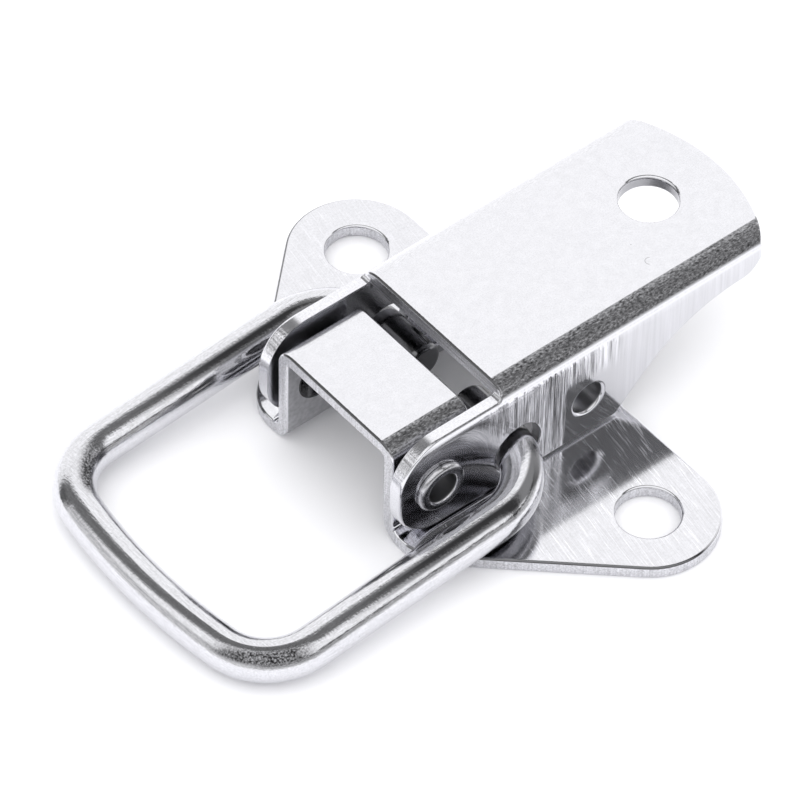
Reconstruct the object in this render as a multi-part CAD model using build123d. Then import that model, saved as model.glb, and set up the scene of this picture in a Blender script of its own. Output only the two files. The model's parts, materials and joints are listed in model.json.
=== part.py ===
from build123d import *
import math
import os

# Over centre toggle latch, folded from stainless sheet.
# X runs from the wire bail (minus) to the lever's grip (plus), Y runs across the latch and
# Z rises from the mounting surface. The origin is midway between the two mounting holes.
# The lever is closed and the bail lies flat.

# ---- Sheet metal ----
sheet = 1.5                      # thickness of both pressings
edge_round = 0.28                # tumbled rounding of the sheared edges
smooth_limit = 0.98              # faces whose normals agree this well meet smoothly
probe = 0.05                     # reach of the test that tells inside corners from outer ones
edge_match = 0.001               # closest radii that are told apart

# ---- Base plate: two drilled wings ----
hole_spacing = 45.0              # between the mounting holes
mounting_hole_d = 6.5
wing_radius = 7.25               # wing tip, about its hole
wing_front_angle = 47.0          # of the slanted edge's normal, from -X
wing_front_flat = 0.4            # straight front edge between the foot bend and the round corner
wing_rear_r = 1.5
wing_inner_r = 0.8

# ---- Base plate: folded bridge that carries the lever ----
bridge_front = 21.2              # from the hole line to the front edge
bridge_length = 9.75
bridge_width = 17.7
bridge_height = 13.0
bridge_bend_r = 2.0              # outside of the top bends
foot_bend_r = 1.0                # inside of the foot bends
foot_overlap = 0.3               # flat foot that runs into each wing
relief_slot = 1.0                # between the strap and each wing

# ---- Lever: folded channel with two ears ----
lever_side_gap = 0.6             # ear to bridge wall
lever_lift = 0.25                # lower edge above the base plate
lever_height = 15.0
lever_bend_r = 2.4               # outside of the long bends
panel_front = 9.0                # from the hole line to the panel's front edge
ear_front = 22.0                 # from the hole line to the ears' front edge
ear_height = 13.7
ear_top_r = 5.0
ear_heel_r = 5.0
tip_reach = 27.5                 # from the hole line to the end of the grip
tip_r = 20.0
tip_wall_depth = 4.6             # side wall left under the grip
grip_rise_angle = 45.0
grip_rise_r = 17.4
grip_heel_r = 1.0
grip_end_r = 2.6
grip_end_angle = 52.0
end_clear = 0.38                 # side outline beyond the end of the flat wall
panel_overlap = 0.03             # side outline's end, up inside the panel
bend_gap = 0.2                   # straight left between the rise and the end of the grip
notch_r = 0.6                    # where the panel steps down to the ears
tip_hole_d = 6.1
tip_hole_inset = 8.7             # from the end of the grip

# ---- Drawn hole in each side wall ----
drawn_hole_d = 3.6
drawn_hole_x = 1.95
drawn_hole_z = 6.6
drawn_collar_wall = 0.9
drawn_collar_height = 0.7
drawn_lip = 0.42

# ---- Wire bail ----
wire_d = 4.4
bail_width = 33.1                # across the leg centrelines
bail_reach = 44.25               # from the hole line to the front bar's centreline
bail_bow = 0.7                   # outward bow of the front bar
bail_front_r = 6.6               # centreline of the front bends
bail_rear_r = 7.3                # centreline of the rear bends
bail_side_shift = 0.4            # the hooks slide sideways in their holes
hook_hole_d = 5.7
hook_hole_x = -6.95
hook_hole_z = 5.65
hook_drop = 0.3                  # the wire rests below the middle of its hole
hook_end = 3.1                   # from the bail's middle plane to each free end
wire_end_round = 0.6

# ---- Pivot rivets: turned, tubular, headed outside the ears ----
pivot_x = -17.0
pivot_z = 7.3
journal_d = 4.8                  # the ear turns on this
tenon_d = 4.3                    # opened out in the bridge wall
rivet_bore_d = 3.4
rivet_head_d = 5.7
rivet_head_height = 0.6
rivet_head_round = 0.5
rivet_mouth_round = 0.3
flare_depth = 0.7
flare_width = 0.55
flare_lip = 0.2                  # wall left at the flared mouth
running_clearance = 0.05         # radial, ear hole on journal
end_float = 0.05                 # ear to rivet head
seat_clearance = 0.01            # tenon in the bridge wall

# ---- Worked out from the above ----
bridge_half = bridge_width / 2
bridge_inner = bridge_half - sheet
bridge_rear = bridge_length - bridge_front
foot_outer = bridge_half + foot_bend_r
lever_inner = bridge_half + lever_side_gap
lever_half = lever_inner + sheet
lever_bottom = sheet + lever_lift
wire_r = wire_d / 2
hook_x = hook_hole_x
hook_z = hook_hole_z - hook_drop


def outer_corners(shape):
    """Edges that stick out; smooth bend lines and inside corners stay out."""
    faces_at = {}
    for face in shape.faces():
        for edge in face.edges():
            faces_at.setdefault(edge, []).append(face)
    corners = ShapeList()
    for edge, faces in faces_at.items():
        middle = edge @ 0.5
        first = faces[0].normal_at(middle)
        second = faces[-1].normal_at(middle)
        if first.dot(second) < smooth_limit and not shape.is_inside(middle + (first - second) * probe):
            corners.append(edge)
    return corners


def outline_face(points):
    """A flat face inside a closed outline, from a list of (across, up, corner radius)."""
    line = FilletPolyline(*[(a, b) for a, b, r in points], radius=[r for a, b, r in points], close=True)
    return make_face(line)


def mirrored_section(outer_half, inner_half):
    """A folded strip's section across Y, from the outer and inner outlines of its +Y half."""
    far_outer = [(-y, z, r) for y, z, r in reversed(outer_half)]
    far_inner = [(-y, z, r) for y, z, r in inner_half]
    return Plane.YZ * outline_face(outer_half + far_outer + far_inner + list(reversed(inner_half)))


def bar_across(diameter, x, z):
    """A bar along Y, longer than the latch is wide, that bores both sides at once."""
    return Pos(x, 0, z) * Rot(90, 0, 0) * Cylinder(diameter / 2, 6 * lever_half)


def mirrored_pair(solid):
    return solid + mirror(solid, Plane.XZ)


# ---- Base plate ----

def wing():
    """The +Y wing: a slanted front edge and a straight rear edge, both tangent to its tip."""
    slant = math.radians(wing_front_angle)
    hole_y = hole_spacing / 2
    slant_x = -wing_radius * math.cos(slant)
    slant_y = hole_y + wing_radius * math.sin(slant)
    corner_y = hole_y + (wing_radius - bridge_front * math.cos(slant)) / math.sin(slant)
    corner_r = (corner_y - foot_outer - wing_front_flat) / math.tan(slant / 2)
    strap_side = bridge_rear + relief_slot
    plan = outline_face([
        (-bridge_front, foot_outer, 0),
        (strap_side, foot_outer, 0),
        (strap_side, bridge_inner, wing_inner_r),
        (wing_radius, bridge_inner, wing_rear_r),
        (wing_radius, hole_y, 0),
        (slant_x, slant_y, 0),
        (-bridge_front, corner_y, corner_r),
    ])
    plan += Pos(0, hole_y) * Circle(wing_radius)
    plan -= Pos(0, hole_y) * Circle(mounting_hole_d / 2)
    plan -= Pos(bridge_rear + relief_slot / 2, foot_outer) * Circle(relief_slot / 2)
    return extrude(plan, sheet)


def bridge():
    """The strap folded up between the wings, with its feet turned out flat."""
    foot_end = foot_outer + foot_overlap
    section = mirrored_section(
        [
            (foot_end, sheet, 0),
            (bridge_half, sheet, foot_bend_r),
            (bridge_half, bridge_height, bridge_bend_r),
        ],
        [
            (foot_end, 0, 0),
            (bridge_inner, 0, foot_bend_r + sheet),
            (bridge_inner, bridge_height - sheet, bridge_bend_r - sheet),
        ],
    )
    return Pos(-bridge_front, 0, 0) * extrude(section, bridge_length)


def base_plate():
    plate = mirrored_pair(wing()) + bridge()
    plate = fillet(outer_corners(plate), edge_round)
    return plate - mirrored_pair(rivet_seat())


# ---- Lever ----

def lever_side():
    """The side view: ears in front, then a flat lower edge that rises to the grip."""
    rise = math.radians(grip_rise_angle)
    grip_end = math.radians(grip_end_angle)
    grip_bottom = lever_height - tip_wall_depth
    wall_end = tip_reach - tip_r + math.sqrt(tip_r ** 2 - lever_inner ** 2)
    panel_under = lever_height - sheet - panel_overlap
    end_x = wall_end + end_clear
    end_knee_x = end_x - (panel_under - grip_bottom) / math.tan(grip_end)
    end_bend = grip_end_r * math.tan(grip_end / 2)
    rise_bend = grip_rise_r * math.tan(rise / 2)
    knee_x = end_knee_x - end_bend - rise_bend - bend_gap
    heel_x = knee_x - (grip_bottom - lever_bottom) / math.tan(rise)
    above = 2 * lever_height
    return outline_face([
        (-ear_front, lever_bottom, ear_heel_r),
        (heel_x, lever_bottom, grip_heel_r),
        (knee_x, grip_bottom, grip_rise_r),
        (end_knee_x, grip_bottom, grip_end_r),
        (end_x, panel_under, 0),
        (2 * tip_reach, panel_under, 0),
        (2 * tip_reach, above, 0),
        (-panel_front, above, 0),
        (-panel_front, ear_height, notch_r),
        (-ear_front, ear_height, ear_top_r),
    ])


def channel_fill(half_width, height, bend_r):
    """A solid up to the channel's outer or inner face, longer than the lever at both ends."""
    section = outline_face([
        (half_width, -sheet, 0),
        (half_width, height, bend_r),
        (-half_width, height, bend_r),
        (-half_width, -sheet, 0),
    ])
    return Pos(-2 * ear_front, 0, 0) * extrude(Plane.YZ * section, 2 * (ear_front + tip_reach))


def lever_blank():
    """The folded channel cut to its side and plan outlines, with its outer rims rounded."""
    between_ears = Pos(-panel_front - ear_front, 0, lever_height) * Box(
        2 * ear_front, 2 * lever_inner, 4 * lever_height
    )
    plan = Pos(tip_reach - tip_r, 0) * Circle(tip_r)
    plan += Pos(tip_reach - 2 * tip_r, 0) * Rectangle(2 * tip_r, 4 * lever_half)
    blank = channel_fill(lever_half, lever_height, lever_bend_r)
    blank -= channel_fill(lever_inner, lever_height - sheet, lever_bend_r - sheet)
    blank -= between_ears
    blank &= extrude(Plane.XZ * lever_side(), 2 * lever_half, both=True)
    blank &= extrude(plan, 2 * lever_height)
    core = channel_fill(lever_half - probe, lever_height - probe, lever_bend_r - probe)
    rims = [edge for edge in outer_corners(blank) if not core.is_inside(edge @ 0.5)]
    return fillet(rims, edge_round)


def hole_rims(shape, diameter):
    """The circular edges of every hole of this diameter."""
    circles = shape.edges().filter_by(GeomType.CIRCLE)
    return circles.filter_by(lambda edge: abs(edge.radius - diameter / 2) < edge_match)


def drawn_collar():
    """Metal drawn inwards around the small hole of the +Y wall."""
    collar = Cylinder(drawn_hole_d / 2 + drawn_collar_wall, sheet + drawn_collar_height)
    collar = fillet(collar.edges().sort_by(Axis.Z)[-1], edge_round)
    middle_y = lever_half - (sheet + drawn_collar_height) / 2
    return Pos(drawn_hole_x, middle_y, drawn_hole_z) * Rot(90, 0, 0) * collar


def lever():
    body = lever_blank() + mirrored_pair(drawn_collar())
    body -= bar_across(drawn_hole_d, drawn_hole_x, drawn_hole_z)
    rims = hole_rims(body, drawn_hole_d).group_by(lambda edge: abs(edge.center().Y))
    body = fillet(rims[-1], drawn_lip)
    body -= bar_across(hook_hole_d, hook_hole_x, hook_hole_z)
    body = fillet(hole_rims(body, hook_hole_d), edge_round)
    body -= Pos(tip_reach - tip_hole_inset, 0, lever_height) * Cylinder(tip_hole_d / 2, 4 * sheet)
    body = fillet(hole_rims(body, tip_hole_d), edge_round)
    return body - bar_across(journal_d + 2 * running_clearance, pivot_x, pivot_z)


# ---- Wire bail ----

def wire_bail():
    """Bent wire: two hooked ends, two legs and a slightly bowed front bar, in one tilted plane."""
    leg_y = bail_width / 2
    run = math.hypot(bail_reach + hook_x, hook_z - wire_r)
    tilt = math.asin((hook_z - wire_r) / run)
    bow_r = (leg_y - bail_front_r) ** 2 / (2 * bail_bow)
    bow_angle = math.asin((leg_y - bail_front_r) / (bow_r - bail_front_r))
    leg_end = run - bow_r + (bow_r - bail_front_r) * math.cos(bow_angle)
    corner = 90 - math.degrees(bow_angle)

    hook = Line((0, hook_end), (0, leg_y - bail_rear_r))
    rear_bend = JernArc(hook @ 1, hook % 1, bail_rear_r, 90)
    leg = Line(rear_bend @ 1, (-leg_end, leg_y))
    front_bend = JernArc(leg @ 1, leg % 1, bail_front_r, corner)
    front_bar = JernArc(front_bend @ 1, front_bend % 1, bow_r, math.degrees(bow_angle))
    half = Wire([hook, rear_bend, leg, front_bend, front_bar])
    section = Plane(half @ 0, z_dir=half % 0) * Circle(wire_r)
    half_wire = sweep(section, path=half)
    half_wire = fillet(half_wire.faces().sort_by(Axis.X)[-1].edges(), wire_end_round)
    wire = mirrored_pair(half_wire)
    along = (math.cos(tilt), 0, math.sin(tilt))
    upward = (-math.sin(tilt), 0, math.cos(tilt))
    return Plane((hook_x, bail_side_shift, hook_z), along, upward).location * wire


# ---- Pivot rivets ----

def turned_about_pivot(points):
    """A body of revolution about the pivot axis, from a list of (Y, radius, corner radius)."""
    return Pos(pivot_x, 0, pivot_z) * revolve(Plane.YZ * outline_face(points), Axis.Y)


def rivet():
    """The +Y rivet: rolled head, journal, shoulder and a tenon flared in the bridge wall."""
    bore_r = rivet_bore_d / 2
    tenon_r = tenon_d / 2
    under_head = lever_half + end_float
    head_top = under_head + rivet_head_height
    flare_y = bridge_inner + flare_depth
    return turned_about_pivot([
        (bridge_inner, tenon_r + flare_width - flare_lip, 0),
        (bridge_inner, tenon_r + flare_width, 0),
        (flare_y, tenon_r, 0),
        (bridge_half, tenon_r, 0),
        (bridge_half, journal_d / 2, 0),
        (under_head, journal_d / 2, 0),
        (under_head, rivet_head_d / 2, 0),
        (head_top, rivet_head_d / 2, rivet_head_round),
        (head_top, bore_r, rivet_mouth_round),
        (flare_y, bore_r, 0),
    ])


def rivet_seat():
    """The countersunk hole that the tenon fills in the +Y bridge wall."""
    seat_r = tenon_d / 2 + seat_clearance
    return turned_about_pivot([
        (bridge_inner - sheet, 0, 0),
        (bridge_inner - sheet, seat_r + flare_width, 0),
        (bridge_inner, seat_r + flare_width, 0),
        (bridge_inner + flare_depth, seat_r, 0),
        (bridge_half + sheet, seat_r, 0),
        (bridge_half + sheet, 0, 0),
    ])


os.makedirs("parts", exist_ok=True)
pieces = {
    "base_plate": base_plate(),
    "lever": lever(),
    "wire_bail": wire_bail(),
    "rivet_left": rivet(),
    "rivet_right": mirror(rivet(), Plane.XZ),
}
for name, piece in pieces.items():
    export_step(piece, "parts/" + name + ".step")
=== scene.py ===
import json
import math

import bpy
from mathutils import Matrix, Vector


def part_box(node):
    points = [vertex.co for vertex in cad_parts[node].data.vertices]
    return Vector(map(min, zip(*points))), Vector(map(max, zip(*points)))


MM = 0.001

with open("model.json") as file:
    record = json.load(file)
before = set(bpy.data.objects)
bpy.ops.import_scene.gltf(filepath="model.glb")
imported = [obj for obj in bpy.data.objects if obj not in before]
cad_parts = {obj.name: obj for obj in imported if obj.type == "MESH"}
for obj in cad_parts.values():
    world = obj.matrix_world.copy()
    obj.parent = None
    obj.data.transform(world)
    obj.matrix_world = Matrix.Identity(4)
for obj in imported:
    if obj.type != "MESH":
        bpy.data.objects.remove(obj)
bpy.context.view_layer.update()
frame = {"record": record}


# ---- Camera at the photograph's angle ----

VIEW_AZIMUTH = math.radians(-40.394)
VIEW_ELEVATION = math.radians(48.039)
VIEW_ROLL = math.radians(1.302)
VIEW_DISTANCE = 617.665 * MM
VIEW_TARGET = Vector((-8.710, 4.980, 0.0)) * MM
FOCAL_LENGTH_IN_FRAMES = 7.7738      # the lens over the width of the picture
SENSOR_WIDTH = 36.0
CLIP_START = 10 * MM
CLIP_END = 20.0


def add_camera():
    """Places the camera on its line of sight and rolls it."""
    cos_a, sin_a = math.cos(VIEW_AZIMUTH), math.sin(VIEW_AZIMUTH)
    cos_e, sin_e = math.cos(VIEW_ELEVATION), math.sin(VIEW_ELEVATION)
    cos_r, sin_r = math.cos(VIEW_ROLL), math.sin(VIEW_ROLL)
    back = Vector((sin_a * cos_e, -cos_a * cos_e, sin_e))
    level_right = Vector((cos_a, sin_a, 0.0))
    level_up = back.cross(level_right)
    data = bpy.data.cameras.new("camera")
    data.sensor_width = SENSOR_WIDTH
    data.lens = SENSOR_WIDTH * FOCAL_LENGTH_IN_FRAMES
    data.clip_start = CLIP_START
    data.clip_end = CLIP_END
    camera = bpy.data.objects.new("camera", data)
    turn = camera.matrix_world.to_3x3()
    turn.col[0] = cos_r * level_right + sin_r * level_up
    turn.col[1] = cos_r * level_up - sin_r * level_right
    turn.col[2] = back
    camera.matrix_world = turn.to_4x4()
    camera.location = VIEW_TARGET + VIEW_DISTANCE * back
    bpy.context.scene.collection.objects.link(camera)
    bpy.context.scene.camera = camera


# ---- Node helpers ----

class Graph:
    """Adds and wires shader nodes with little ceremony."""

    def __init__(self, tree):
        self.tree = tree
        self.tree.nodes.clear()

    def node(self, kind, **settings):
        node = self.tree.nodes.new(kind)
        for name, value in settings.items():
            setattr(node, name, value)
        return node

    def feed(self, socket, value):
        """Links another node's output, or sets a plain value."""
        if isinstance(value, bpy.types.NodeSocket):
            self.tree.links.new(value, socket)
        else:
            socket.default_value = value

    def math(self, operation, first, second=0.0):
        node = self.node("ShaderNodeMath", operation=operation)
        self.feed(node.inputs[0], first)
        self.feed(node.inputs[1], second)
        return node.outputs[0]

    def add(self, first, *others):
        total = first
        for other in others:
            total = self.math("ADD", total, other)
        return total

    def less(self, first, second):
        return self.math("SUBTRACT", first, second)

    def times(self, first, *others):
        product = first
        for other in others:
            product = self.math("MULTIPLY", product, other)
        return product

    def either(self, first, *others):
        most = first
        for other in others:
            most = self.math("MAXIMUM", most, other)
        return most

    def size_of(self, value):
        return self.math("ABSOLUTE", value)

    def smooth(self, value, start, end, low=0.0, high=1.0):
        """Runs smoothly from low to high while the value goes from start to end."""
        node = self.node("ShaderNodeMapRange", interpolation_type="SMOOTHSTEP")
        self.feed(node.inputs["Value"], value)
        self.feed(node.inputs["From Min"], start)
        self.feed(node.inputs["From Max"], end)
        self.feed(node.inputs["To Min"], low)
        self.feed(node.inputs["To Max"], high)
        return node.outputs["Result"]

    def fades(self, value, start, end):
        """Runs smoothly from 1 to 0 while the value goes from start to end."""
        return self.smooth(value, start, end, 1.0, 0.0)

    def above(self, value, level, soft):
        """1 above the level and 0 below it, with an edge that is soft by this much either way."""
        return self.smooth(value, level - soft, level + soft)

    def below(self, value, level, soft):
        """1 below the level and 0 above it, with an edge that is soft by this much either way."""
        return self.fades(value, level - soft, level + soft)

    def between(self, value, start, end, soft):
        """1 from start to end and 0 beyond them, with edges that are soft by this much."""
        return self.times(self.above(value, start, soft), self.below(value, end, soft))

    def outside(self, mask):
        """1 where the mask is 0, and 0 where it is 1."""
        return self.fades(mask, 0.0, 1.0)

    def mix(self, share, first, second):
        """first where share is 0 and second where it is 1."""
        node = self.node("ShaderNodeMix", data_type="FLOAT")
        self.feed(node.inputs[0], share)
        self.feed(node.inputs[2], first)
        self.feed(node.inputs[3], second)
        return node.outputs[0]

    def along(self, vector, direction):
        """How far the vector reaches in this direction."""
        node = self.node("ShaderNodeVectorMath", operation="DOT_PRODUCT")
        self.feed(node.inputs[0], vector)
        node.inputs[1].default_value = direction
        return node.outputs["Value"]

    def split(self, vector):
        node = self.node("ShaderNodeSeparateXYZ")
        self.feed(node.inputs[0], vector)
        return node.outputs

    def join(self, x, y, z):
        node = self.node("ShaderNodeCombineXYZ")
        for socket, value in zip(node.inputs, (x, y, z)):
            self.feed(socket, value)
        return node.outputs[0]


# ---- Studio: a white sweep in a light tent with a long dark gap overhead ----
#
# Heights and the like are parts of the unit vector along a mirrored ray. A pair of numbers
# marked "right, left" holds for the two sides of the tent, which run into each other.

UP = (0, 0, 1)
TO_THE_LEFT = (-0.86, 0.51, 0)
TO_THE_FAR_SIDE = (0.65, 0.76, 0)
LEFT_SIDE = (0.2, 0.6)                           # where the left side starts and is full
FAR_SIDE = (0.2, 0.7)

TENT_LIGHT = 1.26
GAP_LIGHT = 0.20
NEAR_PLANE = (0.8554, 0.5153, -0.0536)           # the gap lies on the plus side of this plane
NEAR_EDGE_START = (-0.085, -0.29)                # right, left
NEAR_EDGE_END = (0.05, -0.03)                    # right, left
FAR_PLANE = (0.8014, 0.4379, -0.4079)            # and on the minus side of this one
FAR_EDGE = (-0.045, 0.06)

SKIRT_LIGHT = (0.10, 0.42)                       # the dim foot of the tent: right, left
SKIRT_TOP_START = (0.42, 0.31)                   # heights: right, left
SKIRT_TOP_END = (0.48, 0.64)                     # right, left
SEAM_HEIGHTS = (0.265, 0.32)                     # a bright seam runs round the skirt
SEAM_SOFTNESS = 0.025
SEAM_SHARE = 0.7                                 # of the tent's light
GLOW_HEIGHTS = (-0.02, 0.26)                     # the floor glows into the foot of the skirt
GLOW_SHARES = (0.75, 0.2)                        # at those two heights
GLOW_END = (0.25, 0.29)

ROOM_LIGHT = 1.6                                 # what the floor gets from all round

FLOOR_REACH = 3.0
FLOOR_DROP = 0.02 * MM                           # keeps the floor clear of the part's underside
FLOOR_COLOUR = (0.86, 0.86, 0.88, 1)
FLOOR_ROUGHNESS = 0.9


def add_world():
    """The tent as the metal mirrors it, and an even light for all else."""
    world = bpy.data.worlds.new("light_tent")
    bpy.context.scene.world = world
    world.use_nodes = True
    g = Graph(world.node_tree)
    ray = g.node("ShaderNodeTexCoord").outputs["Generated"]
    height = g.along(ray, UP)
    left = g.smooth(g.along(ray, TO_THE_LEFT), *LEFT_SIDE)
    near_start, near_end = g.mix(left, *NEAR_EDGE_START), g.mix(left, *NEAR_EDGE_END)
    past_near = g.smooth(g.along(ray, NEAR_PLANE), near_start, near_end)
    before_far = g.fades(g.along(ray, FAR_PLANE), *FAR_EDGE)
    tent = g.smooth(g.times(past_near, before_far), 0, 1, TENT_LIGHT, GAP_LIGHT)

    far = g.smooth(g.along(ray, TO_THE_FAR_SIDE), *FAR_SIDE)
    seam = g.times(g.between(height, *SEAM_HEIGHTS, SEAM_SOFTNESS), SEAM_SHARE)
    glow = g.times(g.smooth(height, *GLOW_HEIGHTS, *GLOW_SHARES), g.fades(height, *GLOW_END))
    above_skirt = g.smooth(height, g.mix(left, *SKIRT_TOP_START), g.mix(left, *SKIRT_TOP_END))
    lit = g.either(above_skirt, far, seam, glow)
    skirt = g.smooth(left, 0, 1, *SKIRT_LIGHT)
    light = g.times(tent, g.mix(lit, skirt, 1.0))

    background = g.node("ShaderNodeBackground")
    background.inputs["Color"].default_value = (1, 1, 1, 1)
    mirrored = g.node("ShaderNodeLightPath").outputs["Is Glossy Ray"]
    g.feed(background.inputs["Strength"], g.mix(mirrored, ROOM_LIGHT, light))
    output = g.node("ShaderNodeOutputWorld")
    g.feed(output.inputs["Surface"], background.outputs[0])


def add_floor():
    """A plain pale floor, which stays out of the part."""
    signs = [(-1, -1), (1, -1), (1, 1), (-1, 1)]
    corners = [(FLOOR_REACH * x, FLOOR_REACH * y, 0) for x, y in signs]
    mesh = bpy.data.meshes.new("floor")
    mesh.from_pydata(corners, [], [(0, 1, 2, 3)])
    floor = bpy.data.objects.new("floor", mesh)
    floor.location.z = -FLOOR_DROP
    bpy.context.scene.collection.objects.link(floor)
    material = bpy.data.materials.new("floor")
    material.use_nodes = True
    shader = material.node_tree.nodes["Principled BSDF"]
    shader.inputs["Base Color"].default_value = FLOOR_COLOUR
    shader.inputs["Roughness"].default_value = FLOOR_ROUGHNESS
    mesh.materials.append(material)


def add_softbox(name, place, size, power):
    """A square area light that looks at the part and isn't mirrored in the metal."""
    data = bpy.data.lights.new(name, "AREA")
    data.size = size
    data.energy = power
    light = bpy.data.objects.new(name, data)
    light.location = place
    light.rotation_euler = (-Vector(place)).to_track_quat("-Z", "Y").to_euler()
    light.visible_glossy = False
    bpy.context.scene.collection.objects.link(light)


bpy.context.scene.view_settings.view_transform = "Standard"
add_camera()
add_world()
add_floor()
add_softbox("overhead", place=(0.1, 0.2, 1.2), size=2.0, power=2)


# ---- Stainless steel ----

STEEL_TONE = 0.715
STEEL_TINT = (1.0, 1.0, 1.042)       # slightly cool
DARKEST_TONE = 0.02
EVERYWHERE = 1.0                     # a mask that holds all over the piece

# Parts of a face's normal, which is a unit vector
LEVEL = (0.985, 0.998)               # upward part, from not level to level
SIDEWAYS = (0.9, 0.98)               # sideways part, from not sideways to sideways
BENT = (0.03, 0.10)                  # sideways part, from the flat face into its bend
SQUARE = (0.25, 0.45)                # any part, from about none to some
NEAR_TOP = (0.90, 0.97)              # upward part, where a bend runs into the flat top
DOWNWARD = (-0.95, -0.8)             # upward part, from downward to not downward
INTO_HOLE = (0.3, 0.75)              # sideways part, from a hole's wall to its rim
ROLLED = (0.35, 0.96)                # upward part of a rim that the cut rolled over
ROLLED_ENDWAYS = (0.2, 0.35)         # size of its lengthwise part
# painted shade: a dark line along the rolled rims
ROLLED_SHADE_TONE = 0.12


class Steel(Graph):
    """One piece's steel: layers of tone, roughness and relief, laid by place (mm) and facing.

    Layers that are laid later cover the earlier ones. A mask is 1 where its layer lies.
    """

    def __init__(self, name, roughness, tone=STEEL_TONE):
        self.material = bpy.data.materials.new(name)
        self.material.use_nodes = True
        super().__init__(self.material.node_tree)
        where = self.node("ShaderNodeTexCoord")
        scaled = self.node("ShaderNodeVectorMath", operation="SCALE")
        self.feed(scaled.inputs[0], where.outputs["Object"])
        scaled.inputs["Scale"].default_value = 1 / MM
        self.place = scaled.outputs[0]
        self.x, self.y, self.z = self.split(self.place)
        self.out = self.size_of(self.y)
        self.facing = self.split(where.outputs["Normal"])
        self.side_facing = self.size_of(self.facing[1])
        self.tone = tone
        self.rough = roughness
        self.height = 0.0

    # Patterns

    def grain(self, size, detail=2.0, stretch=(1, 1, 1), place=None):
        """Noise about 0, within about 0.5 either way, with grains of this size (mm)."""
        mapping = self.node("ShaderNodeMapping")
        self.feed(mapping.inputs["Vector"], place or self.place)
        mapping.inputs["Scale"].default_value = [1 / (size * s) for s in stretch]
        noise = self.node("ShaderNodeTexNoise")
        self.feed(noise.inputs["Vector"], mapping.outputs[0])
        noise.inputs["Scale"].default_value = 1.0
        noise.inputs["Detail"].default_value = detail
        return self.less(noise.outputs[0], 0.5)

    def specks(self, spacing, radius, share):
        """Round spots of this radius, one in a share of the cells this far apart (mm)."""
        cells = self.node("ShaderNodeTexVoronoi")
        self.feed(cells.inputs["Vector"], self.place)
        cells.inputs["Scale"].default_value = 1 / spacing
        chosen = self.math("LESS_THAN", self.split(cells.outputs["Color"])[0], share)
        rim = radius / spacing
        return self.times(self.fades(cells.outputs["Distance"], rim / 2, rim), chosen)

    def away(self, centre, other):
        """Distance in mm from a line across the latch (other = z) or an upright one (other = y)."""
        off_x = self.less(self.x, centre[0])
        off = self.less(other, centre[1])
        return self.math("SQRT", self.add(self.times(off_x, off_x), self.times(off, off)))

    def right_hand(self):
        """1 on the latch's right-hand side, where y is negative."""
        return self.below(self.y, 0.0, soft=1.0)

    # Single layers

    def shade(self, mask, tone):
        self.tone = self.mix(mask, self.tone, tone)

    def roughen(self, mask, roughness):
        self.rough = self.mix(mask, self.rough, roughness)

    def tint(self, mask, pattern, change):
        """Lightens the tone by this much where the pattern is 1, and darkens it where it is -1."""
        self.tone = self.add(self.tone, self.times(mask, pattern, change))

    def emboss(self, mask, pattern, height):
        """Raises the face by this height in mm where the pattern is 1, and sinks it where it is -1."""
        self.height = self.add(self.height, self.times(mask, pattern, height))

    def mottle(self, mask, change, **grain):
        self.tint(mask, self.grain(**grain), change)

    def dimple(self, mask, height, **grain):
        self.emboss(mask, self.grain(**grain), height)

    def spot(self, mask, tone, **specks):
        self.shade(self.times(mask, self.specks(**specks)), tone)

    def finish(self):
        """Joins the layers in one metal shader and returns the material."""
        shader = self.node("ShaderNodeBsdfPrincipled")
        colour = self.node("ShaderNodeCombineColor")
        kept = self.either(self.tone, DARKEST_TONE)
        for socket, share in zip(colour.inputs, STEEL_TINT):
            self.feed(socket, self.times(kept, share))
        self.feed(shader.inputs["Base Color"], colour.outputs[0])
        shader.inputs["Metallic"].default_value = 1.0
        self.feed(shader.inputs["Roughness"], self.rough)
        bump = self.node("ShaderNodeBump")
        bump.inputs["Strength"].default_value = 1.0
        bump.inputs["Distance"].default_value = MM
        self.feed(bump.inputs["Height"], self.height)
        self.feed(shader.inputs["Normal"], bump.outputs[0])
        output = self.node("ShaderNodeOutputMaterial")
        self.feed(output.inputs["Surface"], shader.outputs[0])
        return self.material

    # Finishes that several pieces share

    def satin(self, mask):
        """Flat faces after tumbling: a fine sparkle, soft mottling and stray dark specks."""
        self.roughen(mask, roughness=0.17)
        self.dimple(mask, height=0.013, size=0.28)
        self.mottle(mask, change=0.10, size=0.9, detail=3.0)
        self.mottle(mask, change=0.12, size=0.16, detail=1.0)
        self.spot(mask, tone=0.42, spacing=1.9, radius=0.09, share=0.10)

    def peened(self, mask):
        """Bends roughened in the press: glittering grains, and a painted dark reflection on the
        right-hand side.
        """
        right = self.right_hand()
        near_top = self.smooth(self.facing[2], *NEAR_TOP)
        lengthwise = (2.2, 1, 1)
        self.shade(mask, tone=0.72)
        # painted reflection: the right-hand bends are darkened to stand in for the dark band they
        # mirror
        self.shade(self.times(mask, right), tone=self.mix(near_top, 0.29, 0.22))
        self.mottle(mask, change=self.mix(right, 0.25, 1.0), size=0.16, stretch=lengthwise)
        self.roughen(mask, roughness=0.25)
        self.dimple(mask, height=self.mix(right, 0.008, 0.025), size=0.2, stretch=lengthwise)

    def sheared(self, mask, scored_along, strength):
        """Cut edges: matt and mottled, with scores drawn out as scored_along says."""
        self.shade(mask, tone=0.60)
        self.roughen(mask, roughness=0.33)
        scores = self.grain(size=0.22, stretch=scored_along)
        self.tint(mask, scores, change=strength)
        self.mottle(mask, change=0.6, size=0.18, detail=1.0)
        self.emboss(mask, self.add(scores, self.grain(size=0.2)), height=0.02 * strength)

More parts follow.
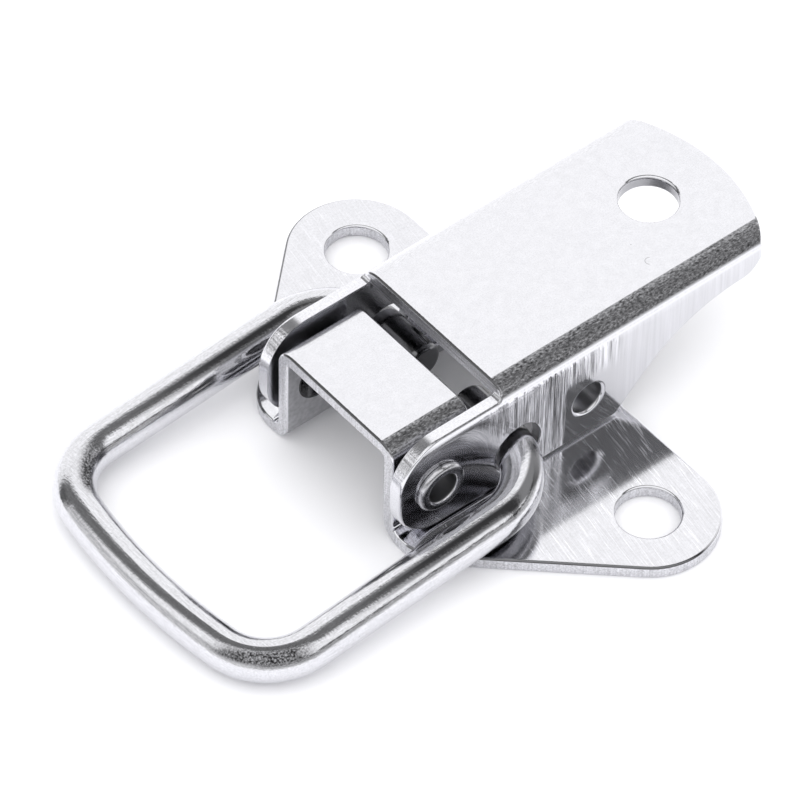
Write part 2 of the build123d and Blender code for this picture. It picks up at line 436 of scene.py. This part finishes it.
    def recess(self, centre, radius, tone, roughness):
        """The dull wall of a hole that runs across the latch, with the given tone painted on it as the
        hole's shade and light.
        """
        across = self.fades(self.side_facing, *INTO_HOLE)
        inside = self.times(self.fades(self.away(centre, self.z), radius, radius + 0.3), across)
        self.shade(inside, tone)
        self.roughen(inside, roughness)


# ---- Places on the latch, in mm, from the frame ----

def box_mm(node_name):
    """The node's lowest and highest corners."""
    low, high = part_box(node_name)
    return [value / MM for value in low], [value / MM for value in high]


def side_place(entry):
    """x and z of a mount or joint."""
    x, _, z = entry["pos_m"]
    return x / MM, z / MM


def top_place(entry):
    """x and y of a mount or joint."""
    x, y, _ = entry["pos_m"]
    return x / MM, y / MM


def near(place, start, end):
    """A range that is given from this place."""
    return place + start, place + end


mounts = {mount["name"]: mount for mount in frame["record"]["mounts"]}
joints = {joint["name"]: joint for joint in frame["record"]["behaviour"]["joints"]}
lever_low, lever_high = box_mm("lever")
wire_low, wire_high = box_mm("wire_bail")

SHEET = 1.5                          # thickness of the base plate and of the lever
SIDE_GAP = 0.6                       # between the bridge's and the lever's walls
LEVER_FRONT = lever_low[0]           # the ears' front
LEVER_HALF = lever_high[1]
LEVER_TOP = lever_high[2]
PANEL_FRONT = LEVER_FRONT + 13.0     # where the lever's top starts, and its ears end
BRIDGE_HALF = LEVER_HALF - SHEET - SIDE_GAP
BRIDGE_TOP = box_mm("base_plate")[1][2]

PIVOT = side_place(joints["lever_hinge"])
HOOK = side_place(joints["bail_hinge"])
HOOK_DROP = 0.3                      # the wire rests below the middle of its hole
HOOK_HOLE = (HOOK[0], HOOK[1] + HOOK_DROP)
HOOK_HOLE_RADIUS = 2.85
DRAWN_HOLE = side_place(mounts["cross_pin_hole_right"])
DRAWN_HOLE_RADIUS = mounts["cross_pin_hole_right"]["dims"]["r_mm"]
GRIP_HOLE = top_place(mounts["grip_hole"])
GRIP_HOLE_RADIUS = mounts["grip_hole"]["dims"]["r_mm"]
SCREW_HOLE = (0.0, mounts["mounting_holes"]["dims"]["spacing_y_mm"] / 2)
SCREW_HOLE_RADIUS = mounts["mounting_holes"]["dims"]["hole_r_mm"]


# ---- Lever ----

LONG_BEND_RADIUS = 2.4
LONG_BEND_UP = (0.50, 0.60)          # upward part of the normal, where the roughened face starts
EARS_END_X = near(PANEL_FRONT, -0.5, 0.0)
INNER_X = near(PANEL_FRONT, -4.0, -0.5)          # from inside the ears to inside the channel
INNER_SHADE_TONES = (0.45, 0.20)                       # painted shade, darker deeper in the channel: at those two places
PANEL_EDGE_X = near(PANEL_FRONT, 0.4, 0.8)
GRIP_HOLE_WALL = near(GRIP_HOLE_RADIUS, 0.25, 0.55)
HOOK_HOLE_X = near(HOOK_HOLE[0], 0.35, 1.75)     # from the hook hole's middle towards its rear
HOOK_HOLE_SHADE_AND_GLINT = (0.4, 1.0)                     # painted shade near the hole's middle and a painted glint at its rear: at those two places

NICK = (GRIP_HOLE[0] - 5.45, -6.4)               # x and y of a small curved nick in the panel
NICK_RADII = (0.42, 0.50)
NICK_SIDE = Vector((0.76, -0.65, 0))             # only the half ring away from here is there

STREAKS_START_X = near(PIVOT[0], 4.0, 8.0)
DEEP_LOW_X = (HOOK_HOLE[0] - 0.35, DRAWN_HOLE[0] - 2.95)    # streaks are deep in a low strip
DEEP_HIGH_X = (PIVOT[0] + 4.5, DRAWN_HOLE[0] + 3.55)        # and in a longer one under the bend
DEEP_HIGH_Z = near(LEVER_TOP, -7.0, -5.0)
STREAK_HEIGHTS = (0.012, 0.13)                   # elsewhere, deep
STREAK_CHANGES = (0.16, 1.5)                     # of tone: elsewhere, deep
PAD_START_X = near(DRAWN_HOLE[0], -3.25, -2.75)  # a pad pressed smooth round the right-hand hole, with painted shade
PAD_END_X = near(DRAWN_HOLE[0], 1.55, 6.55)
PAD_TOP_Z = near(DRAWN_HOLE[1], 2.0, 5.0)

EAR_CURVE = (0.38, 0.9)              # size of the normal's upward part, on the ears' round corners
EAR_REACH = (6.0, 9.0)               # from the rivet, where the turned rings, the painted shade and the painted glints fade out
RING_DRIFT = 0.06                    # varies the rings along their way


def lever_steel():
    """Satin panel, streaked walls, ringed ears, roughened bends and scored edges, with painted shade
    on the ears, the right-hand bend, the channel, the holes and the rolled rim, and painted light on
    the walls' undersides.
    """
    s = Steel("lever_steel", roughness=0.11)
    nx, _, nz = s.facing

    panel = s.times(s.smooth(nz, *LEVEL), s.above(s.z, LEVER_TOP - 0.2, soft=0.1))
    s.satin(panel)
    middle = NICK_SIDE.dot(Vector((*NICK, 0)))
    left_half = s.below(s.along(s.place, NICK_SIDE), middle, soft=0.1)
    nick = s.times(panel, s.between(s.away(NICK, s.y), *NICK_RADII, soft=0.03), left_half)
    s.shade(nick, tone=0.45)

    wall = s.above(s.out, LEVER_HALF - 0.08, soft=0.04)
    wall = s.times(wall, s.smooth(s.side_facing, *SIDEWAYS))
    streak_walls(s, wall)
    ring_ears(s, wall)

    bend_start = LEVER_HALF - LONG_BEND_RADIUS
    bend = s.times(s.smooth(nz, *LONG_BEND_UP), s.smooth(s.side_facing, *BENT))
    bend = s.times(bend, s.smooth(s.out, bend_start - 0.3, bend_start))
    # peened also paints a dark reflection on the right-hand bend
    s.peened(s.times(bend, s.above(s.z, LEVER_TOP - 1.4, soft=0.2)))

    inner = s.below(s.out, LEVER_HALF - SHEET, soft=0.05)
    inner = s.times(inner, s.below(s.z, LEVER_TOP - SHEET, soft=0.05))
    # painted shade: the inner faces darken towards the channel, where shade falls
    s.shade(inner, tone=s.smooth(s.x, *INNER_X, *INNER_SHADE_TONES))
    s.mottle(inner, change=0.25, size=1.2, detail=3.0)
    s.roughen(inner, roughness=0.36)
    s.dimple(inner, height=0.01, size=0.4, detail=3.0)

    wear_rims(s)

    frontward = s.times(nx, -1.0)
    rolled = s.times(s.between(nz, *ROLLED, soft=0.05), s.smooth(frontward, *ROLLED_ENDWAYS))
    rolled = s.times(rolled, s.fades(s.x, *PANEL_EDGE_X), s.above(s.z, LEVER_TOP - 0.5, soft=0.1))
    # painted shade: a dark line along the rolled front rim
    s.shade(rolled, ROLLED_SHADE_TONE)
    # painted shade in the drawn hole
    s.recess(DRAWN_HOLE, DRAWN_HOLE_RADIUS + 0.2, tone=0.30, roughness=0.35)
    # painted shade on the hook hole's front wall and a painted glint on its rear
    hook_hole_shade_and_glint = s.smooth(s.x, *HOOK_HOLE_X, *HOOK_HOLE_SHADE_AND_GLINT)
    s.recess(HOOK_HOLE, HOOK_HOLE_RADIUS + 0.1, hook_hole_shade_and_glint, roughness=0.3)
    return s.finish()


def streak_walls(s, wall):
    """Upright drawing streaks, except on the ears and on the pad round the drawn hole, which gets
    painted shade.
    """
    shaded_pad = s.times(s.smooth(s.x, *PAD_START_X), s.fades(s.x, *PAD_END_X), s.right_hand())
    shaded_pad = s.times(shaded_pad, s.fades(s.z, *PAD_TOP_Z))
    streaked = s.times(wall, s.outside(shaded_pad), s.smooth(s.x, *STREAKS_START_X))
    low_strip = s.between(s.x, *DEEP_LOW_X, soft=0.25)
    high_strip = s.times(s.between(s.x, *DEEP_HIGH_X, soft=1.5), s.smooth(s.z, *DEEP_HIGH_Z))
    deep = s.either(low_strip, high_strip)
    broad = s.grain(size=0.6, detail=1.0, stretch=(1, 1, 25))
    lines = s.add(s.grain(size=0.22, stretch=(1, 1, 40)), s.times(broad, 0.7))
    s.emboss(streaked, lines, height=s.mix(deep, *STREAK_HEIGHTS))
    s.shade(wall, tone=0.62)
    # painted shade: the pad is darker, standing in for the dark reflection on the wall there
    s.shade(s.times(wall, shaded_pad), tone=0.55)
    s.shade(s.times(streaked, deep), tone=0.56)
    s.tint(streaked, lines, change=s.mix(deep, *STREAK_CHANGES))
    s.spot(wall, tone=1.0, spacing=1.3, radius=0.08, share=0.10)
    s.dimple(wall, height=0.004, size=0.5, detail=3.0)


def ring_ears(s, wall):
    """Rings round the rivets, worn into the ears, whose tone is a painted reflection of arcs, over
    painted shade, with pale specks painted as glints.
    """
    from_rivet = s.away(PIVOT, s.z)
    ear = s.times(wall, s.fades(from_rivet, *EAR_REACH))
    rings = s.grain(size=0.16, place=s.join(from_rivet, s.times(s.x, RING_DRIFT), 0.0))
    # painted shade: the ears are darkened, standing in for the dark things they mirror
    s.shade(ear, tone=0.46)
    # painted reflection: the rings' tone copies the arcs mirrored in the ears
    s.tint(ear, rings, change=0.5)
    s.emboss(ear, rings, height=0.006)
    # painted glints: pale specks on the ears
    s.spot(ear, tone=0.95, spacing=1.0, radius=0.1, share=0.2)


def wear_rims(s):
    """Sheared edges of the walls and of the grip, smoother on the ears and in the grip's hole, with
    painted shade on that hole's wall and painted light on the walls' undersides.
    """
    nz_size = s.size_of(s.facing[2])
    inside, under = LEVER_HALF - SHEET, LEVER_TOP - SHEET
    rim = s.times(s.fades(s.side_facing, *SQUARE), s.smooth(s.out, inside, inside + 0.08))
    rim = s.times(rim, s.below(s.z, LEVER_TOP - 1.0, soft=0.1))
    tip_edge = s.times(s.fades(nz_size, *SQUARE), s.smooth(s.z, under - 0.1, under))
    in_grip_hole = s.fades(s.away(GRIP_HOLE, s.y), *GRIP_HOLE_WALL)
    hole_wall = s.times(tip_edge, in_grip_hole)
    # painted shade: the grip hole's wall is darker
    s.shade(hole_wall, tone=0.42)
    s.roughen(hole_wall, roughness=0.16)
    tip_edge = s.times(tip_edge, s.outside(in_grip_hole))

    on_curve = s.between(nz_size, *EAR_CURVE, soft=0.06)
    behind_ears = s.smooth(s.x, *EARS_END_X)
    scored = s.times(rim, s.either(behind_ears, on_curve))
    s.sheared(s.either(scored, tip_edge), scored_along=(1, 30, 1), strength=1.0)
    underside = s.times(rim, s.fades(s.facing[2], *DOWNWARD))
    # painted light: the walls' undersides are made pale to lift the shade in the gap above the wings
    s.shade(underside, tone=1.0)
    s.roughen(underside, roughness=0.6)
    ear_rim = s.times(rim, s.fades(s.x, *EARS_END_X))
    s.shade(s.times(ear_rim, s.outside(on_curve)), tone=0.76)
    s.mottle(ear_rim, change=0.25, size=0.2)
    s.roughen(ear_rim, roughness=0.19)


# ---- Base plate ----

TOP_BEND_UP = (0.50, 0.62)           # upward part of the normal, where the roughened face starts
CUT_FACE = (0.72, 0.85)              # lengthwise part of the normal, on the front and rear cuts
NOT_INNER = (0.3, 0.6)               # lengthwise or upward part, where a face is no inner one
WING_RIM_UP = (0.30, 0.96)           # upward part of the normal, on the wings' rolled front rim
WING_RIM_REAR = (0.0, 0.3)           # lengthwise part, from the front rim to the rear one
WING_RIM_Z = (SHEET - 0.35, SHEET + 0.05)
FOOT_END = BRIDGE_HALF + 1.15        # y to either side, where the foot bends run into the wings
SCREW_HOLE_RIM = near(SCREW_HOLE_RADIUS, 0.45, 0.75)

HAIRLINE_TURN = math.radians(10)     # from straight across the latch
LEFT_WEAR = 0.45                     # the left wing's hairlines beside the right wing's
SCRATCHES = (0.08, 0.22)             # hairlines above this are scratches
SCRATCHED_OUT = (16.0, 23.0)         # y to either side, where the scratches grow few
SCRATCHES_LEFT = 0.25                # share of them that is left there


def base_steel():
    """Satin bridge, brushed wings, roughened bends and scored edges, with painted shade on the
    right-hand bend, inside the bridge, in its pivot holes and along the rolled rims.
    """
    s = Steel("base_steel", roughness=0.07)
    nx, _, nz = s.facing
    level = s.smooth(nz, *LEVEL)
    s.satin(s.times(level, s.above(s.z, BRIDGE_TOP - 0.2, soft=0.1)))
    brush_wings(s, s.times(level, s.below(s.z, SHEET + 0.3, soft=0.1)))

    bend = s.times(s.smooth(nz, *TOP_BEND_UP), s.smooth(s.side_facing, *BENT))
    # peened also paints a dark reflection on the right-hand bend
    s.peened(s.times(bend, s.above(s.z, BRIDGE_TOP - 1.2, soft=0.2)))

    within = s.below(s.out, BRIDGE_HALF - 0.65, soft=0.1)
    within = s.times(within, s.fades(s.size_of(nx), *NOT_INNER), s.fades(nz, *NOT_INNER))
    # painted shade: the bridge's inner faces are darker, where shade falls inside
    s.shade(within, tone=0.46)
    s.mottle(within, change=0.35, size=0.5, detail=3.0)
    s.roughen(within, roughness=0.3)

    cut_face = s.smooth(s.size_of(nx), *CUT_FACE)
    cut_rim = s.times(s.fades(s.size_of(nz), *SQUARE), s.above(s.out, FOOT_END, soft=0.2))
    s.sheared(s.either(cut_face, cut_rim), scored_along=(1, 1, 20), strength=0.4)
    endways = s.smooth(s.size_of(nx), *ROLLED_ENDWAYS)
    rolled = s.times(s.between(nz, *ROLLED, soft=0.05), endways)
    # painted shade: a dark line along the rolled rims
    s.shade(s.times(rolled, s.above(s.z, BRIDGE_TOP - 0.5, soft=0.1)), ROLLED_SHADE_TONE)

    wing_rim = s.times(s.between(nz, *WING_RIM_UP, soft=0.05), s.fades(nx, *WING_RIM_REAR))
    wing_rim = s.times(wing_rim, s.between(s.z, *WING_RIM_Z, soft=0.05))
    off_hole = s.smooth(s.away(SCREW_HOLE, s.out), *SCREW_HOLE_RIM)
    # painted shade: a dark line along the wings' rolled front rim
    s.shade(s.times(wing_rim, off_hole, s.above(s.out, FOOT_END + 1.0, soft=0.2)), tone=0.16)
    # painted shade in the bridge's pivot holes
    s.recess(PIVOT, radius=2.0, tone=0.1, roughness=0.4)
    return s.finish()


def brush_wings(s, wing):
    """Fine hairlines, with stray scratches beside the lever, and specks."""
    turned = s.node("ShaderNodeVectorRotate", rotation_type="Z_AXIS")
    s.feed(turned.inputs["Vector"], s.place)
    turned.inputs["Angle"].default_value = HAIRLINE_TURN
    hairlines = s.grain(size=0.13, stretch=(1, 22, 1), place=turned.outputs[0])
    worn = s.times(wing, s.smooth(s.y, -3.0, 3.0, 1.0, LEFT_WEAR))
    s.emboss(worn, hairlines, height=0.006)
    near_lever = s.smooth(s.out, *SCRATCHED_OUT, 1.0, SCRATCHES_LEFT)
    scratches = s.times(s.smooth(hairlines, *SCRATCHES), near_lever)
    s.emboss(worn, scratches, height=0.0018)
    s.tint(worn, scratches, change=0.24)
    s.emboss(wing, s.specks(spacing=1.7, radius=0.11, share=0.10), height=0.014)
    s.tint(worn, hairlines, change=0.24)
    s.mottle(wing, change=0.10, size=0.9, detail=3.0)
    s.mottle(wing, change=0.16, size=0.25)
    s.roughen(wing, roughness=0.10)
    s.spot(wing, tone=0.5, spacing=2.3, radius=0.1, share=0.12)


# ---- Wire bail ----

WIRE_TONE = 0.655
WIRE_RADIUS = 2.2
BEND_INSIDE_RADIUS = 4.4             # of the front bends
PAST_BAR = (1.0, 4.0)                # where the front bends run into the bar
PAST_BEND_START = (-1.0, 2.5)        # where a straight run passes into a front bend
LEVER_WALL = near(LEVER_HALF, -0.65, -0.15)
HOOKS_X = near(PIVOT[0], -3.0, 2.0)
UNDER_HOOKS_X = near(PIVOT[0], -3.0, 1.0)
UNDER = (-0.35, -0.1)                # upward part of the normal, on the underside, where shade is painted
BY_EARS_X = near(LEVER_FRONT, -14.0, 1.0)
BY_EARS_SIDE = (-0.62, -0.22)        # sideways part of the normal, in the legs' painted dark band
BY_EARS_UP = (0.5, 0.7)              # its upward part there
SCUFFED_UP = (0.60, 0.97)            # upward part of the normal, on the scuffed patches
SCUFFED_SIDE = (-0.25, 0.0)          # its sideways part, from scuffed to not


def wire_steel():
    """Drawn wire, scuffed on its front bends, with painted shade on the hooks and under them and a
    painted dark reflection along the legs by the ears.
    """
    s = Steel("wire_steel", roughness=0.11, tone=WIRE_TONE)
    _, ny, nz = s.facing
    middle = (wire_low[1] + wire_high[1]) / 2
    half_width = (wire_high[1] - wire_low[1]) / 2
    bend_depth = 2 * WIRE_RADIUS + BEND_INSIDE_RADIUS
    past_leg = s.less(s.size_of(s.less(s.y, middle)), half_width - bend_depth)
    past_bar = s.less(wire_low[0] + bend_depth, s.x)

    along_legs = s.grain(size=0.12, stretch=(14, 1, 1))
    along_bar = s.grain(size=0.12, stretch=(1, 14, 1))
    drawn = s.mix(s.smooth(past_bar, *PAST_BAR), along_legs, along_bar)
    s.tint(EVERYWHERE, drawn, change=0.30)
    s.mottle(EVERYWHERE, change=0.22, size=0.22)
    s.dimple(EVERYWHERE, height=0.009, size=0.25)
    s.emboss(EVERYWHERE, drawn, height=0.007)
    s.spot(EVERYWHERE, tone=0.4, spacing=1.1, radius=0.08, share=0.12)

    # painted shade: the hooks inside the lever are darkened
    s.shade(s.times(s.fades(s.out, *LEVER_WALL), s.smooth(s.x, *HOOKS_X)), tone=0.14)
    # painted shade under the hooks
    s.shade(s.times(s.fades(nz, *UNDER), s.smooth(s.x, *UNDER_HOOKS_X)), tone=0.3)
    # painted reflection: a dark band along the legs by the ears
    band = s.times(s.between(ny, *BY_EARS_SIDE, soft=0.06), s.smooth(nz, *BY_EARS_UP))
    s.shade(s.times(band, s.smooth(s.x, *BY_EARS_X)), tone=0.16)

    at_bend = s.times(s.smooth(past_leg, *PAST_BEND_START), s.smooth(past_bar, *PAST_BEND_START))
    scuffed = s.times(at_bend, s.fades(ny, *SCUFFED_SIDE), s.between(nz, *SCUFFED_UP, soft=0.08))
    s.shade(scuffed, tone=0.14)
    s.mottle(scuffed, change=1.1, size=0.2)
    s.dimple(scuffed, height=0.03, size=0.2)
    s.roughen(scuffed, roughness=0.24)
    return s.finish()


# ---- Pivot rivets ----

FLARED_MOUTH = (1.95, 2.35)          # distance from the axis where the flare ends and painted shade starts
HEAD_EDGE = (2.6, 2.75)
INNER_END = near(BRIDGE_HALF, -0.85, -0.55)      # y of the ends inside the bridge, to either side, which are painted dark as shade


def rivet_steel():
    """Turned rivets, with painted shade on the head outside its inner rim, in the bore and on the ends
    inside the bridge.
    """
    s = Steel("rivet_steel", roughness=0.2)
    from_axis = s.away(PIVOT, s.z)
    # painted shade: the head darkens outside its bright inner rim
    s.shade(s.smooth(from_axis, *FLARED_MOUTH), tone=0.30)
    s.shade(s.smooth(from_axis, *HEAD_EDGE), tone=0.5)
    s.dimple(EVERYWHERE, height=0.01, size=0.2)
    s.mottle(EVERYWHERE, change=0.25, size=0.3)
    # painted shade in the bore
    s.recess(PIVOT, radius=1.75, tone=0.16, roughness=0.45)
    # painted shade: the ends inside the bridge are near black
    s.shade(s.fades(s.out, *INNER_END), tone=0.08)
    return s.finish()


finishes = {
    "base_plate": base_steel(),
    "lever": lever_steel(),
    "wire_bail": wire_steel(),
    "rivet_left": rivet_steel(),
}
finishes["rivet_right"] = finishes["rivet_left"]
for node_name, finish in finishes.items():
    for slot in bpy.data.objects[node_name].material_slots:
        slot.material = finish
